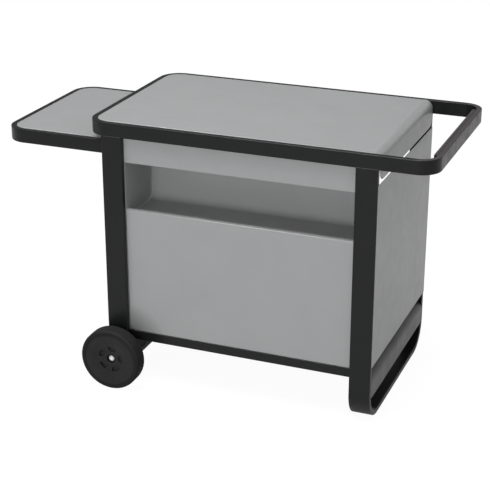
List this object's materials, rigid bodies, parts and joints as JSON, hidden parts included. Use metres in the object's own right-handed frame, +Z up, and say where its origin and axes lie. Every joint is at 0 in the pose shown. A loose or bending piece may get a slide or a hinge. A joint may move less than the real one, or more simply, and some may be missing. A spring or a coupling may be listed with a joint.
{
  "type": "barbecue cart",
  "caption": "Sheet-metal barbecue cart on flat-tube frames, with a rolled-edge worktop, open front niche, side shelf, loop handle, wheels at one end and a sled at the other.",
  "frame": {"origin": "on the floor under the middle of the cart's overall box", "axes": "+X along the cart towards the handle, -Y is the front with the niche, +Z up"},
  "size_m": [1.3942, 0.7612, 0.854],
  "materials": {
    "black_coat": "fine satin powder coat",
    "grey_coat": "satin grey coated sheet",
    "tyre": "matt solid rubber",
    "moulding": "dark grey moulded plastic",
    "zinc": "bright zinc"
  },
  "bodies": {
    "cart": {"top_frame": "black_coat", "handle_grip": "black_coat", "left_leg_frame": "black_coat", "right_leg_frame": "black_coat", "front_rail": "black_coat", "back_rail": "black_coat", "top_tray": "grey_coat", "bottom_tray": "grey_coat", "fascia_panel": "grey_coat", "front_panel": "grey_coat", "niche_liner": "grey_coat", "niche_cheek_left": "grey_coat", "niche_cheek_right": "grey_coat", "side_panel_left": "grey_coat", "side_panel_right": "grey_coat", "shelf_frame": "black_coat", "shelf_tray": "grey_coat", "shelf_bracket_front": "black_coat", "shelf_bracket_back": "black_coat", "leg_bolt_front": "zinc", "leg_bolt_back": "zinc", "shelf_bolt_front": "zinc", "shelf_bolt_back": "zinc", "axle": "zinc", "axle_spacer_front": "zinc", "axle_spacer_back": "zinc", "axle_cap_front": "zinc", "axle_cap_back": "zinc"},
    "front_wheel": {"wheel_front": "moulding", "tyre_front": "tyre", "bush_front": "moulding"},
    "back_wheel": {"wheel_back": "moulding", "tyre_back": "tyre", "bush_back": "moulding"}
  },
  "joints": [
    {"name": "front_wheel_spin", "type": "hinge", "parent": "cart", "child": "front_wheel", "pos_m": [-0.29595, -0.3556, 0.1], "axis": [0, 1, 0], "continuous": true},
    {"name": "back_wheel_spin", "type": "hinge", "parent": "cart", "child": "back_wheel", "pos_m": [-0.29595, 0.3556, 0.1], "axis": [0, 1, 0], "continuous": true}
  ]
}
